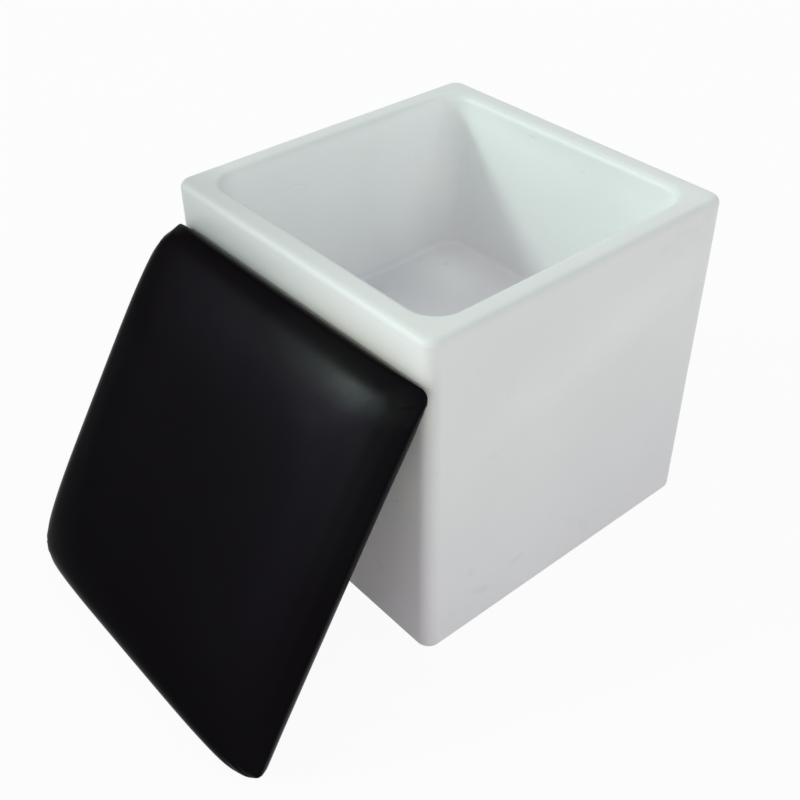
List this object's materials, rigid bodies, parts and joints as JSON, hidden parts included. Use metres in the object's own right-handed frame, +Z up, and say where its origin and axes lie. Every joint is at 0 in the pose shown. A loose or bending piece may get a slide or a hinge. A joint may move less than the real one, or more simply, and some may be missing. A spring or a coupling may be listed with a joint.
{
  "type": "light-up storage stool",
  "caption": "Square double-walled storage tub with a rechargeable lamp in its base, and its padded black lid leaning on one side.",
  "frame": {"origin": "on the floor, under the middle of the box round the tub and the leaning lid together", "axes": "+Z up, +X from the leaning lid towards the tub, +Y along the side that the lid leans on"},
  "size_m": [0.6412, 0.4144, 0.392],
  "materials": {
    "moulded_white": "satin",
    "coated_black": "satin",
    "white_plastic": "satin",
    "black_plastic": "satin",
    "grey_rubber": "matte",
    "black_rubber": "matte",
    "clear_plastic": "gloss",
    "zinc_steel": "satin",
    "brass": "satin",
    "cell_wrap": "satin",
    "board_green": "satin",
    "board_white": "satin",
    "diode_yellow": "satin",
    "lead_red": "satin",
    "foam_cream": "matte",
    "plywood": "matte",
    "pine": "matte",
    "black_cloth": "matte"
  },
  "bodies": {
    "tub": {"tub_shell": "moulded_white", "lamp_gasket": "grey_rubber", "lamp_base": "white_plastic", "threaded_insert_1": "brass", "threaded_insert_2": "brass", "threaded_insert_3": "brass", "threaded_insert_4": "brass", "lamp_screw_1": "zinc_steel", "lamp_screw_2": "zinc_steel", "lamp_screw_3": "zinc_steel", "lamp_screw_4": "zinc_steel", "battery_cell_1": "cell_wrap", "battery_cell_2": "cell_wrap", "battery_clamp": "zinc_steel", "clamp_screw_1": "zinc_steel", "clamp_screw_2": "zinc_steel", "control_board": "board_green", "control_screw_1": "zinc_steel", "control_screw_2": "zinc_steel", "switch_body": "black_plastic", "charge_socket": "black_plastic", "socket_nut": "zinc_steel", "led_board": "board_white", "led_1": "diode_yellow", "led_2": "diode_yellow", "led_3": "diode_yellow", "led_4": "diode_yellow", "led_5": "diode_yellow", "led_6": "diode_yellow", "led_7": "diode_yellow", "led_8": "diode_yellow", "led_screw_1": "zinc_steel", "led_screw_2": "zinc_steel", "led_screw_3": "zinc_steel", "lamp_dome": "clear_plastic", "dome_screw_1": "zinc_steel", "dome_screw_2": "zinc_steel", "dome_screw_3": "zinc_steel", "battery_lead": "lead_red", "led_lead": "black_plastic"},
    "button": {"power_button": "white_plastic", "switch_plunger": "black_plastic"},
    "bung": {"socket_plug": "black_rubber"},
    "lid": {"lid_cover": "coated_black", "lid_foam": "foam_cream", "lid_board": "plywood", "lid_lining": "black_cloth", "lid_batten_1": "pine", "lid_batten_2": "pine", "lid_batten_3": "pine", "lid_batten_4": "pine", "batten_screw_1": "zinc_steel", "batten_screw_2": "zinc_steel", "batten_screw_3": "zinc_steel", "batten_screw_4": "zinc_steel", "batten_screw_5": "zinc_steel", "batten_screw_6": "zinc_steel", "batten_screw_7": "zinc_steel", "batten_screw_8": "zinc_steel"}
  },
  "joints": [
    {"name": "power_button", "type": "slide", "parent": "tub", "child": "button", "axis": [0, 0, 1], "range_m": [0, 0.0012], "stiffness_N_per_m": 400},
    {"name": "bung_pull", "type": "slide", "parent": "tub", "child": "bung", "axis": [0, 0, -1], "range_m": [0, 0.0075]},
    {"name": "lid_lift", "type": "slide", "parent": "tub", "child": "lid", "axis": [0, 0, 1], "range_m": [0, 0.42]}
  ]
}
